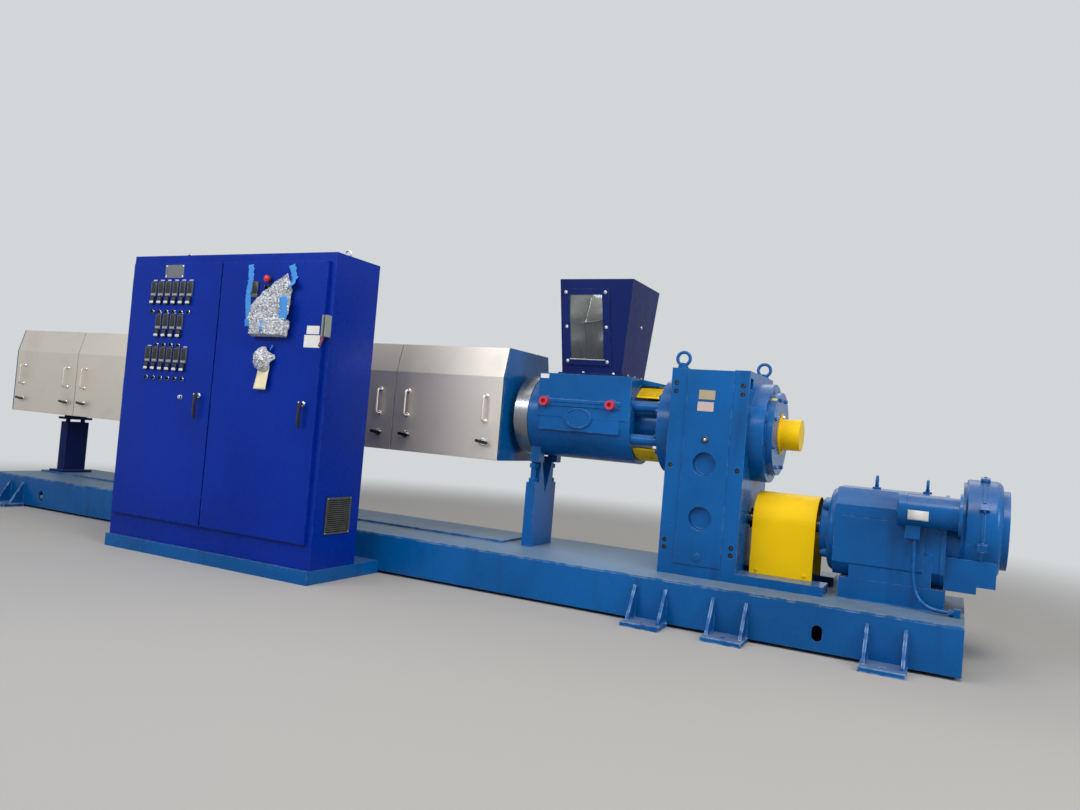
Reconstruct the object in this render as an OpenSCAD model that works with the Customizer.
// Single-screw plastic extruder on a welded base, with its control cabinet beside it.
// Machine frame: x = 0 at the barrel-side face of the gearbox, +x towards the motor,
// y = 0 on the screw axis, -y towards the operator side, z = 0 at the floor.
// The whole machine is then moved so that the origin is under the middle of its box.

/* [Machine] */
// Height of the screw axis above the floor
axis_z = 1080; // [1060:1:1100]
// Bore of the barrel
bore_d = 152; // [140:1:160]

/* [Base] */
// Length of the welded base
base_len = 7380; // [7340:1:7400]
// Width of the welded base
base_w = 960; // [930:1:1000]
// Top of the base above the floor
base_top = 250; // [245:1:256]
// Gap under the side beams
base_gap = 18; // [12:1:24]
// Operator side of the base to the screw axis
base_front = 530; // [515:1:545]
// Motor end of the base from the gearbox face
base_end = 1557; // [1545:1:1580]
// Web thickness of the side beams
web_t = 12; // [8:1:16]
// Flange width of the side beams
flange_w = 90; // [70:1:110]
// Thickness of the top plate
deck_t = 12; // [8:1:14]
// Height of the lifting slots
slot_h = 80; // [60:1:90]
// Width of the lifting slots
slot_w = 50; // [40:1:60]
// Lifting slots from each end of the base
slot_inset = 645; // [600:1:690]

/* [Feet] */
// Thickness of the foot plates
foot_t = 25; // [20:1:30]
// Length of a foot plate along the base
foot_len = 208; // [190:1:220]
// How far a foot plate stands out from the base
foot_out = 165; // [150:1:180]
// Thickness of the foot gussets
gusset_t = 16; // [10:1:20]
// Height of the foot gussets
gusset_h = 172; // [160:1:185]
// Anchor holes in the foot plates
foot_hole_d = 26; // [20:1:30]

/* [Gearbox] */
// Length of the gearbox along the screw
gear_l = 442; // [430:1:450]
// Width of the gearbox
gear_w = 618; // [600:1:640]
// Top of the gearbox above the floor
gear_top = 1407; // [1395:1:1420]
// Motor shaft height above the floor
input_z = 588; // [580:1:596]
// Length of the gearbox foot rails past the housing
rail_l = 455; // [440:1:465]
// Height of the gearbox foot rails
rail_h = 50; // [40:1:60]
// Diameter of the round flange on the barrel side
gear_flange_d = 560; // [540:1:566]
// Thickness of that flange
gear_flange_t = 83; // [70:1:90]
// Diameter of the thrust bearing housing
thrust_d = 562; // [540:1:575]
// Length of the thrust bearing housing
thrust_l = 85; // [76:1:95]

/* [Feed section] */
// Length of the lantern between casting and gearbox flange
lantern_l = 174; // [165:1:190]
// Length of the feed casting
feed_l = 676; // [660:1:690]
// Diameter of the feed casting
feed_d = 500; // [490:1:510]
// Top pad above the screw axis
feed_pad = 265; // [260:1:272]
// Length of the top pad
pad_l = 606; // [590:1:615]
// Diameter of the bare steel ring flange
ring_d = 512; // [506:1:520]
// Thickness of the ring flange
ring_t = 93; // [80:1:105]

/* [Hopper] */
// Hopper top, along the machine
hopper_top_l = 483; // [460:1:500]
// Hopper top, across the machine
hopper_top_w = 480; // [460:1:500]
// Hopper bottom, along the machine
hopper_low_l = 392; // [380:1:410]
// Hopper bottom, across the machine
hopper_low_w = 400; // [380:1:410]
// Height of the hopper
hopper_h = 585; // [560:1:610]
// Sheet thickness of the hopper
hopper_t = 4; // [3:1:6]
// Feed throat opening along the machine
throat_l = 240; // [200:1:280]
// Feed throat opening across the machine
throat_w = 150; // [130:1:160]

/* [Barrel covers] */
// Number of cover sections
cover_n = 6; // [6:1:6]
// Length of one cover section
cover_l = 821; // [815:0.5:826]
// Gap between two sections
cover_gap = 6; // [5:1:8]
// Outside width of the covers
cover_w = 632; // [620:1:650]
// Lower edge of the covers below the screw axis
cover_low = 302; // [296:1:308]
// Bend of the covers above the screw axis
cover_bend = 219; // [210:1:226]
// Top of the covers above the screw axis
cover_high = 407; // [400:1:414]
// How far the sloping panel leans in
cover_lean = 50; // [40:1:60]
// Sheet thickness of the covers
sheet_t = 3; // [2:0.5:4]
// Diameter of the hinge knuckles on the covers
knuckle_d = 20; // [18:1:24]
// Diameter of the hinge pins
pin_d = 8; // [6:0.5:10]

/* [Barrel] */
// Outside diameter of the barrel
barrel_d = 248; // [240:1:256]
// Diameter of the heater castings
heater_d = 330; // [320:1:340]
// Space between the heater castings of two sections
heater_space = 67; // [55:1:75]
// Diameter of the die flange
die_flange_d = 340; // [330:1:350]
// Thickness of the die flange
die_flange_t = 60; // [50:1:70]
// Pitch circle of the die bolts
die_pcd = 290; // [285:1:295]
// Die bolt holes
die_hole_d = 22; // [18:1:26]

/* [Control cabinet] */
// Width of the cabinet
cab_w = 1703; // [1680:1:1730]
// Depth of the cabinet
cab_d = 396; // [380:1:410]
// Height of the cabinet
cab_h = 1829; // [1800:1:1850]
// Right side of the cabinet from the gearbox face
cab_x = 1764; // [1740:1:1790]
// Gap from the cabinet's back to the base
cab_gap = 240; // [220:1:260]
// Sheet thickness of the cabinet
cab_t = 3; // [2:0.5:4]
// Height of the platform under the cabinet
plat_h = 80; // [70:1:90]
// Thickness of the doors with their folded edge
door_t = 22; // [18:1:24]
// Lower edge of the doors above the cabinet's bottom
door_low = 147; // [130:1:160]
// Upper edge of the doors below the cabinet's top
door_drop = 54; // [45:1:60]
// Height of the door levers above the cabinet's bottom
lever_h = 945; // [930:1:960]
// How far the parting of the doors lies left of the cabinet's middle
door_offset = 24.5; // [20:0.5:30]

/* [Motor] */
// Length of the motor frame
motor_l = 533; // [520:1:545]
// Height of the motor frame above its shaft
motor_up = 236; // [228:1:242]
// Half width of the motor frame
motor_side = 232; // [225:1:238]
// Motor frame from the gearbox face
motor_x = 921; // [915:1:930]
// Radius of the motor frame's shoulders
motor_r = 276; // [270:1:282]
// Length of the drive-end bell
bell_l = 84; // [78:1:90]
// Diameter of the drive-end bell at the coupling
bell_d = 330; // [320:1:340]
// Height of the motor pedestal
ped_h = 110; // [100:1:115]
// Diameter of the blower drum
drum_d = 492; // [480:1:505]
// Length of the blower drum
drum_l = 166; // [160:1:180]

/* [Hidden] */
$fn = 64;

// Colours
teal = "#1f5f9c";
cobalt = "#1a2bb8";
navy = "#1d2a6b";
yellow = "#f2c81e";
stainless = "#c9c6bf";
bare_steel = "#8e8f90";
dark_steel = "#4a4d50";
black = "#16181a";
red = "#c8343c";

// Places along the machine, from the gearbox face
feed_x = -gear_flange_t - lantern_l - feed_l;
ring_x = feed_x - ring_t;
panel_t = 5;
panel_x = ring_x - 50 - panel_t;
cover_x = panel_x - cover_gap;
cover_end = cover_x - cover_n * cover_l;
head_x = cover_end - panel_t;
die_face = head_x - 38 - die_flange_t;
base_x0 = base_end - base_len;
base_y0 = -base_front;
base_y1 = base_y0 + base_w;
pad_x0 = -gear_flange_t - lantern_l - 2 - pad_l;
hopper_x = pad_x0 + pad_l / 2 + 16;
pad_z = axis_z + feed_pad;
ped_top = base_top + ped_h;
motor_end = motor_x + motor_l;
drum_x = motor_end + 77;
drum_z = input_z + 88;
end_cover_t = 31;
machine_end = drum_x + drum_l + end_cover_t;
plug_z = axis_z + 90;
plug_x = [pad_x0 + 53, pad_x0 + 489];
plug_d = 40;

// Cabinet places
cab_x1 = -cab_x;
cab_x0 = cab_x1 - cab_w;
cab_y1 = base_y0 - cab_gap;
cab_y0 = cab_y1 - cab_d;
cab_z0 = plat_h;
cab_z1 = cab_z0 + cab_h;
door_gap = 6;
door_seat = 0.5;
door_y = cab_y0 - door_seat;
door_left_margin = 24;
door_right_margin = 40;
door_mid = (cab_x0 + cab_x1) / 2 - door_offset;
door_z0 = cab_z0 + door_low;
door_z1 = cab_z1 - door_drop;
lever_out = 46;
// Door hinges: a knuckle on the door turns on a pin between two knuckles on the frame
door_axis_y = door_y - door_t + 5;
door_knuckle_d = 10;
door_pin_d = 4.4;
door_bore_d = 5;
door_knuckle_l = 40;
door_hinge_inset = 160;
door_hinge_z = [door_z0 + door_hinge_inset, (door_z0 + door_z1) / 2, door_z1 - door_hinge_inset];

module place() translate([shift_x, shift_y, 0]) children();

// A block given by its two corners
module block(a, b) translate(a) cube(b - a);

// A flat shape, drawn in y and z, drawn out along x
module along_x(x, l) translate([x, 0, 0]) rotate([90, 0, 90]) linear_extrude(l) children();

// A flat shape, drawn in x and z, drawn out along -y from y
module along_y(y, l) translate([0, y, 0]) rotate([90, 0, 0]) linear_extrude(l) children();

module rod_x(x, y, z, d, l) translate([x, y, z]) rotate([0, 90, 0]) cylinder(d = d, h = l);

module rod_y(x, y, z, d, l) translate([x, y, z]) rotate([90, 0, 0]) cylinder(d = d, h = l);

module obround(w, h) {
    for (s = [-1, 1]) translate([0, s * (h - w) / 2]) circle(d = w);
    square([w, h - w], center = true);
}

// Welded base

module side_beam(y_web, inward) {
    beam_h = base_top - deck_t - base_gap;
    difference() {
        union() {
            block([base_x0, min(y_web, y_web + inward * web_t), base_gap],
                [base_end, max(y_web, y_web + inward * web_t), base_gap + beam_h]);
            for (z = [base_gap, base_gap + beam_h - web_t])
                block([base_x0, min(y_web, y_web + inward * flange_w), z],
                    [base_end, max(y_web, y_web + inward * flange_w), z + web_t]);
        }
        for (x = [base_x0 + slot_inset, base_end - slot_inset])
            translate([x, y_web + web_t, base_gap + 88]) rotate([90, 0, 0])
                linear_extrude(2 * web_t) obround(slot_w, slot_h);
    }
}

module base_front_beam() place() color(teal) side_beam(base_y0, 1);
module base_rear_beam() place() color(teal) side_beam(base_y1, -1);

cross_x = [base_x0, base_x0 + 1200, base_x0 + 2500, base_x0 + 3800, ring_x - 40, -40, 600,
    base_end - web_t];

module base_cross_members() place() color(teal)
    for (x = cross_x)
        block([x, base_y0 + web_t, base_gap + web_t],
            [x + web_t, base_y1 - web_t, base_top - deck_t - web_t]);

module base_deck() place() color(teal)
    block([base_x0, base_y0, base_top - deck_t], [base_end, base_y1, base_top]);

rail_t = 14;
rail_inset = 40;
rail_x0 = base_x0 + rail_inset;
rail_x1 = ring_x - 60;
rail_front = 150;
rail_back = flange_w + 10;

module barrel_rail() place() color(teal)
    block([rail_x0, -rail_front, base_top], [rail_x1, base_y1 - rail_back, base_top + rail_t]);

// Feet: a plate on the floor and two gussets against the web
foot_motor = [330, 1080, 1510];
foot_head = 330;
foot_mid = 4300;

module foot(x, side) {
    y0 = side < 0 ? base_y0 : base_y1;
    difference() {
        union() {
            block([x - foot_len / 2, min(y0, y0 + side * foot_out), 0],
                [x + foot_len / 2, max(y0, y0 + side * foot_out), foot_t]);
            for (s = [-1, 1])
                translate([x + s * (foot_len / 2 - 18) - gusset_t / 2, y0, foot_t])
                    rotate([90, 0, 90]) linear_extrude(gusset_t)
                        polygon([[0, 0], [side * (foot_out - 58), 0], [side * (foot_out - 58), 12],
                            [side * 12, gusset_h], [0, gusset_h]]);
        }
        translate([x, y0 + side * (foot_out - 60), -1]) cylinder(d = foot_hole_d, h = foot_t + 2);
    }
}

module foot_brackets() place() color(teal) {
    for (x = foot_motor) {
        foot(base_end - x, -1);
        foot(base_end - x, 1);
    }
    for (side = [-1, 1]) foot(base_x0 + foot_head, side);
    foot(base_end - foot_mid, 1);
}

// Control cabinet

plat_x0 = cab_x0 - 14;
plat_x1 = cab_x1 + 2;
plat_y0 = cab_y0 - 18;

module cabinet_platform() place() color(teal)
    difference() {
        block([plat_x0, plat_y0, 0], [plat_x1, base_y0, plat_h]);
        block([plat_x0 + 60, plat_y0 + 60, -1], [cab_x0 + cab_w / 2 - 30, base_y0 - 60, plat_h - 8]);
        block([cab_x0 + cab_w / 2 + 30, plat_y0 + 60, -1], [plat_x1 - 60, base_y0 - 60, plat_h - 8]);
    }

module cabinet_back() place() color(cobalt)
    block([cab_x0 + cab_t, cab_y1 - cab_t, cab_z0 + cab_t], [cab_x1 - cab_t, cab_y1, cab_z1 - cab_t]);

vent_w = 220;
vent_h = 214;
vent_y = cab_y0 + 201;
vent_z = cab_z0 + 308;
slat_n = 16;

module cabinet_sides() place() color(cobalt) {
    block([cab_x0, cab_y0, cab_z0], [cab_x0 + cab_t, cab_y1, cab_z1]);
    difference() {
        block([cab_x1 - cab_t, cab_y0, cab_z0], [cab_x1, cab_y1, cab_z1]);
        translate([cab_x1 - cab_t / 2, vent_y, vent_z])
            cube([2 * cab_t, vent_w - 40, vent_h - 40], center = true);
    }
}

module cabinet_roof_floor() place() color(cobalt)
    for (z = [cab_z0, cab_z1 - cab_t])
        block([cab_x0 + cab_t, cab_y0, z], [cab_x1 - cab_t, cab_y1, z + cab_t]);

frame_lip = 40;
door_rim = 30;
mullion_w = 60;

// The two fixed knuckles of one door hinge, with their leaf and pin
module door_pin(x, z) {
    for (s = [-1, 1]) translate([0, 0, z + s * (door_knuckle_l + 1) - door_knuckle_l / 2]) {
        translate([x, door_axis_y, 0]) cylinder(d = door_knuckle_d, h = door_knuckle_l);
        block([x - door_knuckle_d / 2, door_axis_y, 0], [x - 1, cab_y0 + cab_t / 2, door_knuckle_l]);
    }
    translate([x, door_axis_y, z - door_knuckle_l]) cylinder(d = door_pin_d, h = 2 * door_knuckle_l);
}

module cabinet_front_frame() place() color(cobalt) {
    difference() {
        block([cab_x0 + cab_t, cab_y0, cab_z0 + cab_t], [cab_x1 - cab_t, cab_y0 + cab_t, cab_z1 - cab_t]);
        block([cab_x0 + frame_lip, cab_y0 - 1, door_z0 + door_rim],
            [door_mid - mullion_w / 2, cab_y0 + cab_t + 1, door_z1 - door_rim]);
        block([door_mid + mullion_w / 2, cab_y0 - 1, door_z0 + door_rim],
            [cab_x1 - door_right_margin - door_rim, cab_y0 + cab_t + 1, door_z1 - door_rim]);
    }
    for (x = [door_l0, door_r0], z = door_hinge_z) door_pin(x, z);
}

// A door: a front sheet with folded edges, hinged on its left edge
module door(x0, x1)
    difference() {
        union() {
            block([x0, door_y - door_t, door_z0], [x1, door_y, door_z1]);
            for (z = door_hinge_z) translate([x0, door_axis_y, z - door_knuckle_l / 2])
                cylinder(d = door_knuckle_d, h = door_knuckle_l);
        }
        difference() {
            block([x0 + cab_t, door_y - door_t + cab_t, door_z0 + cab_t],
                [x1 - cab_t, door_y + 1, door_z1 - cab_t]);
            for (z = door_hinge_z) translate([x0, door_axis_y, z - door_knuckle_l / 2])
                cylinder(d = door_knuckle_d, h = door_knuckle_l);
        }
        for (z = door_hinge_z) translate([x0, door_axis_y, z]) {
            translate([0, 0, -door_knuckle_l]) cylinder(d = door_bore_d, h = 2 * door_knuckle_l);
            for (s = [-1, 1]) translate([0, 0, s * (door_knuckle_l + 1) - door_knuckle_l / 2 - 1])
                cylinder(d = door_knuckle_d + 2, h = door_knuckle_l + 2);
        }
    }

door_l0 = cab_x0 + door_left_margin;
door_l1 = door_mid - door_gap;
door_r0 = door_mid + door_gap;
door_r1 = cab_x1 - door_right_margin;
lever_inset = 95;
lever_z = cab_z0 + lever_h;
lever_left_x = door_l1 - lever_inset;
lever_right_x = door_r1 - lever_inset;

module lever_hole(x) rod_y(x, door_y, lever_z, 24.6, door_t + 1);

module door_left() place() color(cobalt)
    difference() {
        door(door_l0, door_l1);
        lever_hole(lever_left_x);
    }

module door_right() place() color(cobalt)
    difference() {
        door(door_r0, door_r1);
        lever_hole(lever_right_x);
    }

lever_boss_d = 36;
lever_boss_l = 20;
lever_top_d = 32;
lever_end_d = 20;
lever_l = 130;
lever_gap = 0.4;

// A swing lever: a boss in the door and a tapering grip with round ends that hangs down
module door_lever(x) {
    rod_y(x, door_y - door_t + 3, lever_z, 24, 12);
    rod_y(x, door_y - door_t - lever_gap, lever_z, lever_boss_d, lever_boss_l);
    along_y(door_y - door_t - lever_gap - lever_boss_l, lever_out - lever_gap - lever_boss_l)
        translate([x, lever_z]) {
            circle(d = lever_top_d);
            translate([0, -lever_l]) circle(d = lever_end_d);
            polygon([[-lever_top_d / 2, 0], [-lever_end_d / 2, -lever_l], [lever_end_d / 2, -lever_l],
                [lever_top_d / 2, 0]]);
        }
}

module door_lever_left() place() color(black) door_lever(lever_left_x);
module door_lever_right() place() color(black) door_lever(lever_right_x);

// Main switch on the frame beside the right door: a slotted box with a lever on a pin
disc_w = 34;
disc_h = 124;
disc_out = 44;
disc_slot = 14;
disc_x = cab_x1 - disc_w / 2;
disc_z = cab_z0 + 1397;
disc_hub_y = cab_y0 - 22;
disc_hub_z = disc_z - 25;
disc_hub_d = 26;
disc_arm = 105;
disc_lean = 65;
disc_grip_d = 16;
disc_grip_l = 45;

module disconnect_switch() place() color(stainless)
    difference() {
        block([disc_x - disc_w / 2, cab_y0 - disc_out, disc_z - disc_h / 2],
            [disc_x + disc_w / 2, cab_y0, disc_z + disc_h / 2]);
        block([disc_x - disc_slot / 2, cab_y0 - disc_out - 1, disc_z - disc_h / 2 - 1],
            [disc_x + disc_slot / 2, cab_y0 - 4, disc_z + disc_h / 2 + 1]);
        rod_x(disc_x - disc_slot / 2 - 6, disc_hub_y, disc_hub_z, pin_d + 0.6, disc_slot + 12);
    }

module disconnect_lever() place() color(red) {
    rod_x(disc_x - disc_slot / 2 - 5, disc_hub_y, disc_hub_z, pin_d, disc_slot + 10);
    rod_x(disc_x - 4, disc_hub_y, disc_hub_z, disc_hub_d, 8);
    translate([disc_x, disc_hub_y, disc_hub_z]) rotate([180 + disc_lean, 0, 0]) {
        block([-4, 0, -8], [4, disc_arm - disc_grip_l + 5, 8]);
        translate([0, disc_arm - disc_grip_l, 0]) rotate([-90, 0, 0])
            cylinder(d = disc_grip_d, h = disc_grip_l);
    }
}

// Temperature controllers: three rows, each with its pilot lamp and its knob below
ctrl_w = 48;
ctrl_h = 96;
ctrl_out = 10;
ctrl_rim = 6;
ctrl_keys_h = 22;
lamp_w = 28;
lamp_h = 42;
lamp_out = 18;
lamp_z = -82;
knob_d = 28;
knob_out = 22;
knob_z = -146;
ctrl_x = door_l0 + 214;
ctrl_pitch = 65.6;
ctrl_rows = [[0, 6, 1608], [1.05, 4, 1396], [0, 6, 1184]];

module temperature_controllers() place() color(black)
    for (row = ctrl_rows)
        for (i = [0 : row[1] - 1])
            translate([ctrl_x + (row[0] + i) * ctrl_pitch, door_y - door_t, cab_z0 + row[2]]) {
                difference() {
                    block([-ctrl_w / 2, -ctrl_out, -ctrl_h / 2], [ctrl_w / 2, 0, ctrl_h / 2]);
                    block([ctrl_rim - ctrl_w / 2, -ctrl_out - 1, ctrl_keys_h - ctrl_h / 2],
                        [ctrl_w / 2 - ctrl_rim, -ctrl_out + 2, ctrl_h / 2 - ctrl_rim]);
                }
                block([-lamp_w / 2, -lamp_out, lamp_z - lamp_h / 2], [lamp_w / 2, 0, lamp_z + lamp_h / 2]);
                rod_y(0, 0, knob_z, knob_d, knob_out);
            }

panel_x0 = door_r0 + 321;
// Pieces of the right door: left and right ends from panel_x0, lower and upper ends, and depth
panel_box = [0, 255, 1330, 1530, 28];
meter_box = [110, 240, 1560, 1680, 12];
small_box = [-66, -6, 1562, 1650, 9];
// Round pieces of the right door: across from panel_x0, up, diameter and depth
panel_buttons = [[72, 1661, 40, 34], [62, 1611, 30, 26], [95, 1190, 80, 30]];

// Operator panel, a meter, a controller, two push buttons and a lamp on the right door
module operator_panel() place() color(dark_steel)
    translate([0, door_y - door_t, cab_z0]) {
        for (p = [panel_box, meter_box, small_box])
            block([panel_x0 + p[0], -p[4], p[2]], [panel_x0 + p[1], 0, p[3]]);
        for (p = panel_buttons) rod_y(panel_x0 + p[0], 0, p[1], p[2], p[3]);
    }

module vent_grille() place() color(black)
    difference() {
        block([cab_x1, vent_y - vent_w / 2, vent_z - vent_h / 2],
            [cab_x1 + 8, vent_y + vent_w / 2, vent_z + vent_h / 2]);
        for (i = [0 : slat_n - 1])
            block([cab_x1 + 2, vent_y - vent_w / 2 + 10, vent_z - vent_h / 2 + 11 + i * 12.2],
                [cab_x1 + 9, vent_y + vent_w / 2 - 10, vent_z - vent_h / 2 + 17 + i * 12.2]);
    }

// An eye bolt: collar and ring
module eye(x, y, z, d, turn = 0)
    translate([x, y, z]) rotate([0, 0, turn]) {
        cylinder(d = d * 0.62, h = d * 0.16);
        cylinder(d = d * 0.3, h = d * 0.34);
        translate([0, 0, d * 0.6]) rotate([90, 0, 0])
            rotate_extrude($fn = 48) translate([d * 0.39, 0]) circle(d = d * 0.2, $fn = 24);
    }

module lifting_eyes() place() color(stainless) {
    eye(48, -gear_w / 2 + 44, gear_top, 94);
    eye(gear_l - 48, gear_w / 2 - 44, gear_top, 94);
    for (x = [cab_x0 + 270, cab_x1 - 90]) eye(x, (cab_y0 + cab_y1) / 2, cab_z1, 54);
    for (x = [motor_x + 176, motor_end - 107]) eye(x, 0, input_z + motor_up, 70, 90);
}

// Barrel and screw

mouth_l = 160;
module barrel() place() color(bare_steel)
    difference() {
        union() {
            rod_x(die_face, 0, axis_z, die_flange_d, die_flange_t);
            rod_x(die_face, 0, axis_z, barrel_d, ring_x - die_face);
        }
        rod_x(die_face - 1, 0, axis_z, bore_d, mouth_l + 1);
        for (a = [0 : 30 : 359])
            translate([die_face - 1, 0, axis_z]) rotate([a + 15, 0, 0])
                translate([0, 0, die_pcd / 2]) rotate([0, 90, 0])
                    cylinder(d = die_hole_d, h = die_flange_t + 2);
    }

// The screw where it shows: its tip in the barrel's mouth, and a turn and more under the throat
screw_gap = 0.6;
screw_root_d = 104;
flight_turn = bore_d;
flight_w = 36;
tip_l = 60;
tip_inset = 40;

// A stretch of screw: the root and one flight wound round it
module screw_stretch(x, l, flight_l) {
    rod_x(x, 0, axis_z, screw_root_d, l);
    translate([x, 0, axis_z]) rotate([0, 90, 0])
        linear_extrude(flight_l, twist = 360 * flight_l / flight_turn, slices = ceil(flight_l / 9), $fn = 8)
            polygon(concat([[screw_root_d / 2 - 4, 0]],
                [for (a = [-flight_w / 2 : 9 : flight_w / 2]) (bore_d / 2 - screw_gap) * [cos(a), sin(a)]]));
}

module screw() place() color(bare_steel) {
    screw_stretch(hopper_x - throat_bore_l / 2, throat_bore_l, throat_bore_l);
    translate([die_face + mouth_l, 0, axis_z]) mirror([1, 0, 0]) translate([0, 0, -axis_z])
        screw_stretch(0, mouth_l - tip_inset - tip_l, mouth_l - tip_inset - tip_l);
    translate([die_face + tip_inset, 0, axis_z]) rotate([0, 90, 0])
        cylinder(d1 = 12, d2 = screw_root_d, h = tip_l);
}

heater_clear = 0.5;
heater_gap = 34;
heater_l = (cover_l - heater_gap - heater_space) / 2;

// Middle of a cover section
function section_x(i) = cover_x - i * cover_l - (cover_l - cover_gap) / 2;

// Two heater castings under each cover section, each with its terminal box
module heater_castings() place() color(stainless)
    for (i = [0 : cover_n - 1], s = [0, 1]) {
        x = section_x(i) + (s == 0 ? heater_gap / 2 : -heater_gap / 2 - heater_l);
        difference() {
            union() {
                rod_x(x, 0, axis_z, heater_d, heater_l);
                block([x + 90, -heater_d / 2 - 60, axis_z - 45],
                    [x + heater_l - 90, -heater_d / 2 + 30, axis_z + 45]);
            }
            rod_x(x - 1, 0, axis_z, barrel_d + 2 * heater_clear, heater_l + 2);
        }
    }

support_x = [section_x(cover_n - 1), section_x(2)];
saddle_t = 22;
saddle_w = 200;
column_top = axis_z - cover_low - 70;
column_foot = [180, 280, 20];
column_size = [90, 200];
jack_space = 140;
jack_stud = [36, 22];
cradle_size = [90, 260, 20];

// A barrel support: a column on the rail, two jack screws and a saddle under the barrel
module barrel_supports() place() color(navy)
    for (x = support_x) {
        z0 = base_top + rail_t;
        z1 = column_top + jack_stud[1];
        translate([x, 0, z0 + column_foot[2] / 2]) cube(column_foot, center = true);
        block([x - column_size[0] / 2, -column_size[1] / 2, z0 + column_foot[2]],
            [x + column_size[0] / 2, column_size[1] / 2, column_top]);
        for (s = [-1, 1]) translate([x, s * jack_space / 2, column_top])
            cylinder(d = jack_stud[0], h = jack_stud[1]);
        translate([x, 0, z1 + cradle_size[2] / 2]) cube(cradle_size, center = true);
        difference() {
            block([x - saddle_t / 2, -saddle_w / 2, z1 + cradle_size[2]],
                [x + saddle_t / 2, saddle_w / 2, axis_z]);
            rod_x(x - saddle_t, 0, axis_z, barrel_d + 2 * heater_clear, 2 * saddle_t);
        }
    }

// Barrel covers: outline of the hood in y and z, measured from the screw axis.
// The hinge axis runs along the rear edge of the flat top.
hinge_y = cover_w / 2 - cover_lean;
hinge_z = axis_z + cover_high + knuckle_d / 2 + 2;
seat = 0.3;
knuckle_l = 60;
lug_t = 12;
hinge_reach = 16;

module hood_front(t)
    polygon([[-cover_w / 2, -cover_low + seat], [-cover_w / 2, cover_bend],
        [-cover_w / 2 + cover_lean, cover_high], [hinge_y - hinge_reach, cover_high],
        [hinge_y - hinge_reach, cover_high - t], [-cover_w / 2 + cover_lean + t * 0.8, cover_high - t],
        [-cover_w / 2 + t, cover_bend - t * 0.15], [-cover_w / 2 + t, -cover_low + seat]]);

handle_inset = 110;
handle_h = 160;
handle_z = axis_z + 14;
latch_z = axis_z - 195;

// Ends of a cover section, and where its handles, latches and hinges sit
function cover_hi(i) = cover_x - i * cover_l;
function cover_lo(i) = cover_hi(i) - cover_l + cover_gap;
function stations(i) = [cover_lo(i) + handle_inset, cover_hi(i) - handle_inset];

handle_d = 14;
handle_out = 38;
handle_bend = 16;

// A bow handle standing out from the front of a cover: a bar bent round at both ends
module bow_handle(x) translate([x, -cover_w / 2, handle_z]) {
    for (m = [0, 1]) mirror([0, 0, m]) {
        rod_y(0, 0, handle_h / 2, handle_d, handle_out - handle_bend);
        translate([0, handle_bend - handle_out, handle_h / 2 - handle_bend])
            rotate([0, -90, 0]) rotate([0, 0, -90])
                rotate_extrude(angle = 90) translate([handle_bend, 0]) circle(d = handle_d, $fn = 24);
    }
    translate([0, -handle_out, handle_bend - handle_h / 2])
        cylinder(d = handle_d, h = handle_h - 2 * handle_bend);
}

module tee_latch(x) translate([x, -cover_w / 2, latch_z]) {
    rod_y(0, 0, 0, 30, 8);
    rod_y(0, 0, 0, 12, 30);
    block([-24, -38, -6], [24, -24, 6]);
}

module knuckle(x) difference() {
    union() {
        rod_x(x - knuckle_l / 2, hinge_y, hinge_z, knuckle_d, knuckle_l);
        block([x - knuckle_l / 2, hinge_y - 42, hinge_z - 6], [x + knuckle_l / 2, hinge_y - 4, hinge_z]);
        block([x - knuckle_l / 2, hinge_y - 42, axis_z + cover_high],
            [x + knuckle_l / 2, hinge_y - hinge_reach - 8, hinge_z]);
    }
    rod_x(x - knuckle_l, hinge_y, hinge_z, pin_d + 1, 2 * knuckle_l);
}

module barrel_cover(i) {
    translate([0, 0, axis_z]) along_x(cover_lo(i), cover_l - cover_gap) hood_front(sheet_t);
    for (x = stations(i)) {
        bow_handle(x);
        tee_latch(x);
        knuckle(x);
    }
}

module barrel_cover_1() place() color(stainless) barrel_cover(0);
module barrel_cover_2() place() color(stainless) barrel_cover(1);
module barrel_cover_3() place() color(stainless) barrel_cover(2);
module barrel_cover_4() place() color(stainless) barrel_cover(3);
module barrel_cover_5() place() color(stainless) barrel_cover(4);
module barrel_cover_6() place() color(stainless) barrel_cover(5);

// The lugs and pin that carry one knuckle, on the fixed rear sheet
module hinge_lugs(x) {
    for (s = [-1, 1]) {
        lx = x + s * (knuckle_l / 2 + 1 + lug_t / 2) - lug_t / 2;
        rod_x(lx, hinge_y, hinge_z, knuckle_d, lug_t);
        block([lx, hinge_y - 8, axis_z + cover_high], [lx + lug_t, hinge_y + knuckle_d / 2, hinge_z]);
    }
    rod_x(x - knuckle_l / 2 - lug_t, hinge_y, hinge_z, pin_d, knuckle_l + 2 * lug_t);
}

// The fixed rear half of the hood, which carries the hinges
module cover_back() place() color(stainless) {
    t = sheet_t;
    translate([0, 0, axis_z]) along_x(cover_end, panel_x - cover_end)
        polygon([[cover_w / 2, -cover_low], [cover_w / 2, cover_bend],
            [cover_w / 2 - cover_lean, cover_high], [hinge_y - 10, cover_high],
            [hinge_y - 10, cover_high - t], [cover_w / 2 - cover_lean - t * 0.8, cover_high - t],
            [cover_w / 2 - t, cover_bend - t * 0.15], [cover_w / 2 - t, -cover_low]]);
    for (i = [0 : cover_n - 1]) for (x = stations(i)) hinge_lugs(x);
}

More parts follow.
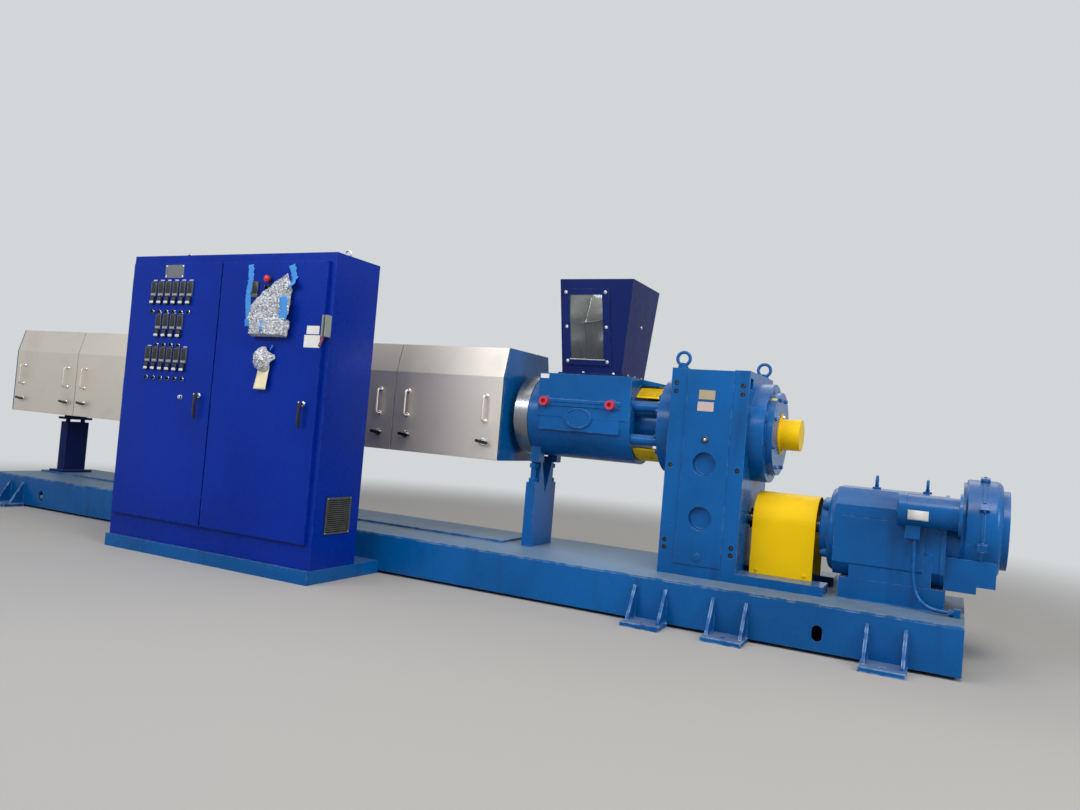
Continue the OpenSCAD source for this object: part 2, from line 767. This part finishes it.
module cover_pan() place() color(stainless)
    difference() {
        block([cover_end, -cover_w / 2, axis_z - cover_low - sheet_t],
            [panel_x, cover_w / 2, axis_z - cover_low]);
        for (x = support_x)
            block([x - saddle_t / 2 - 0.5, -saddle_w / 2 - 0.5, axis_z - cover_low - 2 * sheet_t],
                [x + saddle_t / 2 + 0.5, saddle_w / 2 + 0.5, axis_z - cover_low + 1]);
    }

// An end panel with the outline of the hood and a hole round the barrel
module end_panel(x)
    difference() {
        translate([0, 0, axis_z]) along_x(x, panel_t)
            polygon([[-cover_w / 2, -cover_low], [-cover_w / 2, cover_bend],
                [-cover_w / 2 + cover_lean, cover_high], [cover_w / 2 - cover_lean, cover_high],
                [cover_w / 2, cover_bend], [cover_w / 2, -cover_low]]);
        rod_x(x - 1, 0, axis_z, barrel_d + 1, panel_t + 2);
    }

module cover_end_panels() place() color(teal) {
    end_panel(panel_x);
    end_panel(head_x);
}

// Feed section

module feed_ring() place() color(bare_steel)
    difference() {
        rod_x(ring_x, 0, axis_z, ring_d, ring_t);
        for (a = [0 : 45 : 359])
            translate([ring_x - 1, 0, axis_z]) rotate([a + 22.5, 0, 0])
                translate([0, 0, 205]) rotate([0, 90, 0]) cylinder(d = 30, h = 31);
    }

rib_d = 62;
rib_pcd = 420;
rib_seat = 0.1;
web_w = 150;
web_low = 228;
web_high = 236;
plug_head_d = 56;
neck_d = 260;
lantern_x = -gear_flange_t - lantern_l;
lug_y = 125;
lug_w = 64;
lug_l = 65;
lug_low = axis_z - 295;
lug_top = axis_z - 150;
block_out = 6;
band_t = 16;
band_step = 4;
band_inset = 20;
band_short = 60;
oval_w = 174;
oval_h = 122;
oval_rim = 8;
// Profile of the raised band, out from the casting's side and up from the screw axis
band_mid = feed_d / 2 + band_t - band_step;
band_face = feed_d / 2 + band_t;
band_profile = [[feed_d / 2, 66], [band_mid, 66], [band_mid, 86], [band_face, 90], [band_face, 106],
    [band_mid, 110], [feed_d / 2, 110]];
throat_bore_l = throat_l + 40;

module feed_casting() place() color(teal)
    difference() {
        union() {
            rod_x(feed_x, 0, axis_z, feed_d, feed_l);
            block([pad_x0, -feed_d / 2 - block_out, axis_z], [pad_x0 + pad_l, feed_d / 2 + block_out, pad_z]);
            // raised bands and oval boss on both sides
            for (s = [-1, 1]) {
                along_x(pad_x0 + band_inset, pad_l - band_inset - band_short)
                    polygon([for (p = band_profile) [s * p[0], axis_z + p[1]]]);
                block([pad_x0 + band_inset, min(s * 180, s * (feed_d / 2 + band_step)), axis_z - 82],
                    [pad_x0 + pad_l - band_short, max(s * 180, s * (feed_d / 2 + band_step)), axis_z + 2]);
                translate([feed_x + 350, s * (feed_d / 2 + band_t), axis_z - 2]) rotate([s * 90, 0, 0]) {
                    linear_extrude(60) scale([oval_w / oval_h, 1]) difference() {
                        circle(d = oval_h);
                        circle(d = oval_h - 2 * oval_rim);
                    }
                    translate([0, 0, band_step]) linear_extrude(56) scale([oval_w / oval_h, 1])
                        circle(d = oval_h - oval_rim);
                }
            }
            // lugs on the jack screws
            for (s = [-1, 1])
                block([feed_x, s * lug_y - lug_w / 2, lug_low],
                    [feed_x + lug_l, s * lug_y + lug_w / 2, lug_top]);
            // lantern ribs
            for (a = [28, 152, 208, 332])
                translate([lantern_x, 0, axis_z]) rotate([a, 0, 0]) translate([0, rib_pcd / 2, 0])
                    rotate([0, 90, 0]) cylinder(d = rib_d, h = lantern_l - rib_seat);
            // web sloping from the top pad to the gearbox flange
            along_y(web_w / 2, web_w)
                polygon([[lantern_x - 5, axis_z + web_low], [lantern_x - 5, pad_z],
                    [lantern_x, pad_z], [-gear_flange_t - rib_seat, axis_z + web_high],
                    [-gear_flange_t - rib_seat, axis_z + web_low]]);
            // bosses round the pipe plugs
            for (s = [-1, 1]) for (x = plug_x)
                translate([x, s * (feed_d / 2 - 5), plug_z]) rotate([s * -90, 0, 0])
                    cylinder(d = plug_head_d + 12, h = band_t + 5);
        }
        // feed throat, down to the screw
        rod_x(hopper_x - throat_bore_l / 2, 0, axis_z, bore_d, throat_bore_l);
        block([hopper_x - throat_l / 2, -throat_w / 2, axis_z],
            [hopper_x + throat_l / 2, throat_w / 2, pad_z + 1]);
        for (s = [-1, 1]) for (x = plug_x)
            translate([x, s * (-feed_d / 2 - band_t), plug_z]) rotate([s * -90, 0, 0])
                cylinder(d = plug_d, h = plug_seat + 5);
    }

plug_seat = 55;
plug_head_t = 26;
plug_socket_d = 28;

module pipe_plugs() place() color(red)
    for (s = [-1, 1]) for (x = plug_x)
        translate([x, s * (-feed_d / 2 - band_t + plug_seat - 0.3), plug_z]) rotate([s * 90, 0, 0])
            difference() {
                union() {
                    cylinder(d = plug_d - 0.6, h = plug_seat + 0.5);
                    translate([0, 0, plug_seat]) cylinder(d = plug_head_d, h = plug_head_t);
                }
                translate([0, 0, plug_seat + 7]) cylinder(d = plug_socket_d, h = plug_head_t);
            }

module shank_housing() place() color(teal)
    rod_x(lantern_x, 0, axis_z, neck_d, lantern_l);

// Perforated guards between the ribs, above and below the shank and at the back
guard_r = 222;
guard_t = 3;
guard_gap = 0.3;
guard_arcs = [[42, 84], [96, 138], [222, 318], [345, 375]];

module lantern_guards() place() color(yellow)
    for (a = guard_arcs)
        translate([lantern_x + guard_gap, 0, axis_z]) rotate([a[0], 0, 0]) rotate([90, 0, 90])
            rotate_extrude(angle = a[1] - a[0])
                translate([guard_r, 0]) square([guard_t, lantern_l - 2 * guard_gap]);

// Hopper: an open square taper with a window in its front

module taper(l0, w0, l1, w1, h) {
    big = max(l0, l1, w0, w1);
    intersection() {
        rotate([90, 0, 0]) linear_extrude(2 * big, center = true)
            polygon([[-l0 / 2, 0], [l0 / 2, 0], [l1 / 2, h], [-l1 / 2, h]]);
        rotate([90, 0, 90]) linear_extrude(2 * big, center = true)
            polygon([[-w0 / 2, 0], [w0 / 2, 0], [w1 / 2, h], [-w1 / 2, h]]);
    }
}

win_x = hopper_x - 39;
win_l = 252;
win_h = 398;
win_z = pad_z + 95;
hopper_flange_t = 12;
win_lean = atan((hopper_top_w - hopper_low_w) / 2 / (hopper_h - hopper_flange_t));

// Moves a flat piece onto the leaning front sheet of the hopper
module on_front(z) translate([win_x, -hopper_low_w / 2, z])
    rotate([win_lean, 0, 0]) children();

module hopper() place() color(navy)
    difference() {
        union() {
            translate([hopper_x, 0, pad_z + hopper_flange_t])
                taper(hopper_low_l, hopper_low_w, hopper_top_l, hopper_top_w, hopper_h - hopper_flange_t);
            block([hopper_x - hopper_low_l / 2 - 18, -hopper_low_w / 2 - 18, pad_z],
                [hopper_x + hopper_low_l / 2 + 18, hopper_low_w / 2 + 18, pad_z + hopper_flange_t]);
        }
        translate([hopper_x, 0, pad_z + hopper_flange_t + 0.5])
            taper(hopper_low_l - 2 * hopper_t, hopper_low_w - 2 * hopper_t,
                hopper_top_l - 2 * hopper_t, hopper_top_w - 2 * hopper_t, hopper_h);
        block([hopper_x - throat_l / 2, -throat_w / 2, pad_z - 1],
            [hopper_x + throat_l / 2, throat_w / 2, pad_z + 20]);
        block([win_x - win_l / 2, -hopper_top_w, win_z], [win_x + win_l / 2, 0, win_z + win_h]);
    }

module hopper_window() place() color("#5a6f7c")
    on_front(pad_z + hopper_flange_t)
        difference() {
            block([-win_l / 2 - 50, -8, 46], [win_l / 2 + 50, -0.3, 46 + win_h + 76]);
            block([-win_l / 2, -9, 84], [win_l / 2, -4, 84 + win_h]);
        }

// Pedestal under the feed section: a welded post whose two arms reach up round a notch,
// with a jack screw at each side under the casting's lugs

fp_x = feed_x - 19;
fp_t = 64;
fp_w = 300;
fp_wall = 12;
fp_top = axis_z - 425;
fp_reach = axis_z - ring_d / 2 - 4;
fp_arm = lug_y - lug_w / 2 - 1;
fp_apex = fp_top - 81;
jack_d = 34;
jack_nut_d = 60;
jack_nut_h = 26;
jack_seat = 0.3;

module feed_pedestal() place() color(teal) {
    difference() {
        union() {
            block([fp_x, -fp_w / 2, base_top], [fp_x + fp_t, fp_w / 2, fp_top]);
            block([fp_x, -fp_arm, fp_top], [fp_x + fp_t, fp_arm, fp_reach]);
        }
        along_x(fp_x + fp_wall, fp_t)
            polygon([[fp_wall - fp_arm, fp_reach + 1], [0, fp_apex], [fp_arm - fp_wall, fp_reach + 1]]);
    }
    for (s = [-1, 1]) translate([fp_x + fp_t / 2, s * lug_y, fp_top]) {
        cylinder(d = jack_d, h = lug_low - fp_top - jack_seat);
        for (z = [0, lug_low - fp_top - jack_nut_h - 12]) translate([0, 0, z])
            cylinder(d = jack_nut_d, h = jack_nut_h, $fn = 6);
    }
}

// Gearbox

module gearbox_flange() place() color(teal)
    difference() {
        rod_x(-gear_flange_t, 0, axis_z, gear_flange_d, gear_flange_t);
        for (a = [0 : 30 : 359])
            translate([-gear_flange_t - 1, 0, axis_z]) rotate([a, 0, 0])
                translate([0, 0, gear_flange_d / 2 - 28]) rotate([0, 90, 0]) cylinder(d = 22, h = 21);
    }

plate_t = 30;
cap_t = 8;
cap_z = [axis_z - 204, input_z - 14];
cap_x = 224;
cap_hole_d = 132;
cap_rim = 12;
cap_dish = 3;
mid_x0 = 96;
mid_x1 = gear_l - 86;
mid_t = 5;
mid_low = 64;
input_bore_d = 120;
input_bore_t = 40;
screw_bore_d = 27;
screw_bore_t = 12;
screw_x = [31, gear_l - 34];
screw_z = [gear_top - 86, gear_top - 133, axis_z - 224, input_z - 154, input_z - 195];

module gearbox_housing() place() color(teal)
    difference() {
        union() {
            block([0, -gear_w / 2, base_top], [gear_l, gear_w / 2, gear_top]);
            // raised middle panel and drain boss on both sides
            for (s = [-1, 1]) {
                block([mid_x0, min(s * (gear_w / 2 - 1), s * (gear_w / 2 + mid_t)), base_top + mid_low],
                    [mid_x1, max(s * (gear_w / 2 - 1), s * (gear_w / 2 + mid_t)), gear_top - 5]);
                translate([cap_x, s * (gear_w / 2 - 1), base_top + 113]) rotate([s * -90, 0, 0])
                    cylinder(d = 38, h = mid_t + 11);
            }
            for (s = [-1, 1])
                block([gear_l, min(s * 118, s * gear_w / 2), base_top],
                    [gear_l + rail_l, max(s * 118, s * gear_w / 2), base_top + rail_h]);
        }
        // steps along the top
        block([mid_x0, -gear_w, gear_top - 5], [mid_x1, gear_w, gear_top + 1]);
        // round recesses of the bearing caps
        for (s = [-1, 1]) for (z = cap_z)
            translate([cap_x, s * (gear_w / 2 - plate_t), z]) rotate([s * -90, 0, 0])
                cylinder(d = cap_hole_d, h = plate_t + mid_t + 1);
        // counterbores of the screws down both edges
        for (s = [-1, 1]) for (x = screw_x, z = screw_z)
            translate([x, s * (gear_w / 2 - screw_bore_t), z]) rotate([s * -90, 0, 0])
                cylinder(d = screw_bore_d, h = screw_bore_t + 1);
        // bolt pocket under the top edge on the motor side
        for (s = [-1, 1])
            block([gear_l - 30, min(s * (gear_w / 2 - 14), s * (gear_w / 2 - 90)), gear_top - 100],
                [gear_l + 1, max(s * (gear_w / 2 - 14), s * (gear_w / 2 - 90)), gear_top - 40]);
        // input shaft opening
        rod_x(gear_l - input_bore_t, 0, input_z, input_bore_d, input_bore_t + 1);
    }

module gearbox_caps() place() color(teal)
    for (s = [-1, 1]) for (z = cap_z)
        translate([cap_x, s * (gear_w / 2 - plate_t), z]) rotate([s * -90, 0, 0]) {
            difference() {
                cylinder(d = cap_hole_d - 1, h = cap_t);
                translate([0, 0, cap_t - cap_dish]) cylinder(d = cap_hole_d - 2 * cap_rim, h = cap_dish + 1);
            }
        }

thrust_cap_d = 470;
thrust_cap_t = 40;

module thrust_housing() place() color(teal)
    difference() {
        union() {
            rod_x(gear_l, 0, axis_z, thrust_d, thrust_l);
            rod_x(gear_l + thrust_l, 0, axis_z, thrust_cap_d, thrust_cap_t);
        }
        for (a = [0 : 30 : 359])
            translate([gear_l + thrust_l - 12, 0, axis_z]) rotate([a + 15, 0, 0])
                translate([0, 0, thrust_d / 2 - 38]) rotate([0, 90, 0]) cylinder(d = 24, h = 13);
    }

tube_x = gear_l + thrust_l + thrust_cap_t;
tube_d = 176;
tube_l = 109;

module shaft_end_guard() place() color(yellow) {
    translate([tube_x, 0, axis_z]) rotate([90, 0, 90]) linear_extrude(8) {
        circle(d = tube_d + 16);
        for (s = [-1, 1]) translate([0, s * 96]) circle(d = 40);
        square([40, 192], center = true);
    }
    difference() {
        rod_x(tube_x + 8, 0, axis_z, tube_d, tube_l);
        rod_x(tube_x + 8, 0, axis_z, tube_d - 6, tube_l - 3);
    }
}

// Drive: coupling, its guard, and the motor

shaft_d = 75;

module coupling() place() color(dark_steel) {
    rod_x(gear_l - input_bore_t, 0, input_z, shaft_d, motor_x - bell_l - gear_l + input_bore_t - 0.3);
    rod_x(gear_l + 70, 0, input_z, 210, 90);
    rod_x(gear_l + 160, 0, input_z, 240, 60);
    rod_x(gear_l + 220, 0, input_z, 210, 70);
}

guard_x0 = gear_l + 40;
guard_l = 336;
guard_side = 162;

module coupling_guard() place() color(yellow)
    along_x(guard_x0, guard_l)
        difference() {
            union() {
                translate([0, input_z]) circle(r = guard_side);
                translate([-guard_side, base_top + rail_h])
                    square([2 * guard_side, input_z - base_top - rail_h]);
            }
            translate([0, input_z]) circle(r = guard_side - 3);
            translate([-guard_side + 3, base_top + rail_h - 1])
                square([2 * guard_side - 6, input_z - base_top - rail_h + 1]);
        }

ped_side = 226;

module motor_pedestal() place() color(teal)
    block([motor_x + 38, -ped_side, base_top], [motor_end + 10, ped_side, ped_top]);

// Cross-section of the motor frame about its shaft: a round body with flat top, sides and underside
frame_clear = 6;
end_l = 97;
end_step = 10;
flange_l = 18;

module motor_section(inset = 0)
    intersection() {
        circle(r = motor_r - inset);
        translate([-motor_side + inset, ped_top + frame_clear - input_z])
            square([2 * (motor_side - inset), motor_up - inset + input_z - ped_top - frame_clear]);
    }

foot_box_w = 76;
foot_box_h = 170;
foot_box_x0 = 86;
foot_box_x1 = 57;
seam_z = 92;

module motor_frame() place() color(teal) {
    difference() {
        translate([0, 0, input_z]) along_x(motor_x, motor_l - end_l) motor_section();
        // seam line along both sides
        for (s = [-1, 1])
            block([motor_x + 40, min(s * (motor_side - 2), s * motor_r), input_z + seam_z - 2],
                [motor_end - end_l + 1, max(s * (motor_side - 2), s * motor_r), input_z + seam_z + 2]);
    }
    // stepped end housing with its flange, and the feet
    translate([0, 0, input_z]) along_x(motor_end - end_l, end_l) motor_section(end_step);
    translate([0, 0, input_z]) along_x(motor_end - flange_l, flange_l) motor_section(2);
    for (s = [-1, 1])
        block([motor_x + foot_box_x0, min(s * ped_side, s * (ped_side - foot_box_w)), ped_top],
            [motor_end - foot_box_x1, max(s * ped_side, s * (ped_side - foot_box_w)), ped_top + foot_box_h]);
}

bell_big = 224;
bell_round = 26;
bell_rim = 40;
lug_d = 44;

// The drive-end bell: a round-edged disc stepping down to the shaft housing, with four bolt lugs
module motor_end_bell() place() color(teal)
    translate([motor_x, 0, input_z]) rotate([0, -90, 0]) {
        rotate_extrude()
            polygon(concat([[0, 0], [bell_big, 0]],
                [for (a = [0 : 15 : 90])
                    [bell_big - bell_round * (1 - cos(a)), bell_rim - bell_round * (1 - sin(a))]],
                [[bell_d / 2, bell_rim + 6], [bell_d / 2, bell_l - 8],
                    [bell_d / 2 - 8, bell_l], [0, bell_l]]));
        for (a = [45 : 90 : 359])
            rotate([0, 0, a]) translate([bell_d / 2 + 14, 0, bell_rim - 5]) cylinder(d = lug_d, h = 25);
    }

bm_d = 160;
bm_y = -motor_side - 28;
bm_z = input_z + 157;
bm_x = motor_end - 230;
bm_box_l = 70;
bm_box_low = 140;
bm_flange_d = 210;
bm_flange_t = 14;
drum_face_t = 14;
drum_face_x = drum_x - drum_face_t - 0.3;

module blower_motor() place() color(teal)
    difference() {
        union() {
            rod_x(bm_x, bm_y, bm_z, bm_d, drum_face_x - bm_x);
            rod_x(drum_face_x - bm_flange_t, bm_y, bm_z, bm_flange_d, bm_flange_t);
            block([bm_x + 40, bm_y - 30, bm_z - bm_box_low],
                [bm_x + 40 + bm_box_l, -motor_side - 0.3, bm_z - 60]);
        }
        block([bm_x - 1, -motor_side - 0.3, bm_z - bm_d], [motor_end + 0.3, 0, bm_z + bm_d]);
    }

// Round blower housing on the motor's end, with its clamp band and the duct under it
drum_round = 34;
drum_face_inset = 18;
end_cover_inset = 46;
spigot_d = 380;
band_w = 14;
band_out = 5;
band_x = drum_x + 74;
band_lugs = [15, 63, 108];
band_lug_l = 44;
band_lug_w = 34;
band_lug_out = 22;
duct_side = 200;
duct_x = motor_end + 146;
duct_low = [362, 398];

module blower_drum() place() color(teal) {
    translate([drum_x, 0, drum_z]) rotate([0, 90, 0])
        rotate_extrude()
            polygon(concat([[0, 0], [drum_d / 2 - 8, 0], [drum_d / 2, 8]],
                [for (a = [0 : 15 : 90])
                    [drum_d / 2 - drum_round * (1 - cos(a)), drum_l - drum_round * (1 - sin(a))]],
                [[0, drum_l]]));
    rod_x(drum_x + drum_l, 0, drum_z, drum_d - 2 * end_cover_inset, end_cover_t);
    rod_x(drum_x - drum_face_t, 0, drum_z, drum_d - 2 * drum_face_inset, drum_face_t);
    rod_x(motor_end, 0, input_z, spigot_d, drum_x - motor_end);
    difference() {
        rod_x(band_x, 0, drum_z, drum_d + 2 * band_out, band_w);
        rod_x(band_x - 1, 0, drum_z, drum_d - 2, band_w + 2);
    }
    for (a = band_lugs)
        translate([band_x + band_w / 2, 0, drum_z]) rotate([a, 0, 0])
            block([-band_lug_l / 2, -band_lug_w / 2, drum_d / 2 - 2],
                [band_lug_l / 2, band_lug_w / 2, drum_d / 2 + band_lug_out]);
    // stepped air duct under the drum
    block([motor_end, -duct_side, duct_low[0]], [duct_x, duct_side, drum_z - 150]);
    block([duct_x - 1, -duct_side, duct_low[1]], [drum_x + drum_l - 14, duct_side, drum_z - 150]);
}

// Conduit from the blower motor's box down to a fitting on the base

conduit_d = 20;
conduit_x = bm_x + 86;
conduit_out = bm_z - bm_box_low - 0.3;
fitting_x = conduit_x + 176;
fitting_y = bm_y - 32;
fitting_z = base_top + 19;
fitting_d = 34;
fitting_l = 26;
fitting_box = [30, 40, 42];
conduit_route = [[conduit_x, bm_y, conduit_out], [conduit_x, bm_y, conduit_out - 20],
    [conduit_x, bm_y, conduit_out - 40], [conduit_x + 3, bm_y - 2, 510], [conduit_x + 4, bm_y - 6, 430],
    [conduit_x + 18, bm_y - 12, 352], [conduit_x + 46, bm_y - 18, 302], [conduit_x + 92, bm_y - 24, 275],
    [conduit_x + 140, bm_y - 30, fitting_z], [fitting_x, fitting_y, fitting_z]];

// A smooth curve through the points of a route, with n steps between two points
function curve_point(a, b, c, d, t) = 0.5 * ((2 * b) + (c - a) * t + (2 * a - 5 * b + 4 * c - d) * t * t
    + (3 * b - a - 3 * c + d) * t * t * t);
function curve(p, n) = [for (i = [0 : len(p) - 2], k = [0 : n - 1])
    curve_point(p[max(i - 1, 0)], p[i], p[i + 1], p[min(i + 2, len(p) - 1)], k / n), p[len(p) - 1]];
function unit(v) = v / norm(v);

// A round tube swept along a list of points
module swept_tube(p, d, sides) {
    m = len(p);
    tangent = [for (i = [0 : m - 1]) unit(p[min(i + 1, m - 1)] - p[max(i - 1, 0)])];
    points = [for (i = [0 : m - 1])
        let (u = unit(cross(tangent[i], [0, 1, 0])), v = cross(tangent[i], u))
        for (k = [0 : sides - 1]) p[i] + d / 2 * (cos(360 * k / sides) * u + sin(360 * k / sides) * v)];
    sides_of = [for (i = [0 : m - 2], k = [0 : sides - 1])
        let (a = i * sides + k, b = i * sides + (k + 1) % sides) [a, a + sides, b + sides, b]];
    polyhedron(points, concat([[for (k = [0 : sides - 1]) k]],
        sides_of, [[for (k = [0 : sides - 1]) m * sides - 1 - k]]));
}

module blower_conduit() place() color(teal) {
    swept_tube(curve(conduit_route, 2), conduit_d, 10);
    rod_x(fitting_x - 2, fitting_y, fitting_z, fitting_d, fitting_l);
    translate([fitting_x + fitting_l - 4, fitting_y - fitting_box[1] / 2, base_top]) cube(fitting_box);
}

// Box of the whole machine, for the origin
box_x0 = die_face;
box_x1 = machine_end;
lever_front = door_y - door_t - lever_out;
grip_front = disc_hub_y - disc_arm * cos(disc_lean) - disc_grip_d / 2 * sin(disc_lean);
box_y0 = min(lever_front, grip_front);
box_y1 = base_y1 + foot_out;
shift_x = -(box_x0 + box_x1) / 2;
shift_y = -(box_y0 + box_y1) / 2;

base_front_beam();
base_rear_beam();
base_cross_members();
base_deck();
barrel_rail();
foot_brackets();
cabinet_platform();
cabinet_back();
cabinet_sides();
cabinet_roof_floor();
cabinet_front_frame();
door_left();
door_right();
door_lever_left();
door_lever_right();
disconnect_switch();
disconnect_lever();
temperature_controllers();
operator_panel();
vent_grille();
lifting_eyes();
barrel();
screw();
heater_castings();
barrel_supports();
cover_back();
cover_pan();
cover_end_panels();
barrel_cover_1();
barrel_cover_2();
barrel_cover_3();
barrel_cover_4();
barrel_cover_5();
barrel_cover_6();
feed_ring();
feed_casting();
pipe_plugs();
shank_housing();
lantern_guards();
hopper();
hopper_window();
feed_pedestal();
gearbox_flange();
gearbox_housing();
gearbox_caps();
thrust_housing();
shaft_end_guard();
coupling();
coupling_guard();
motor_pedestal();
motor_frame();
motor_end_bell();
blower_motor();
blower_drum();
blower_conduit();
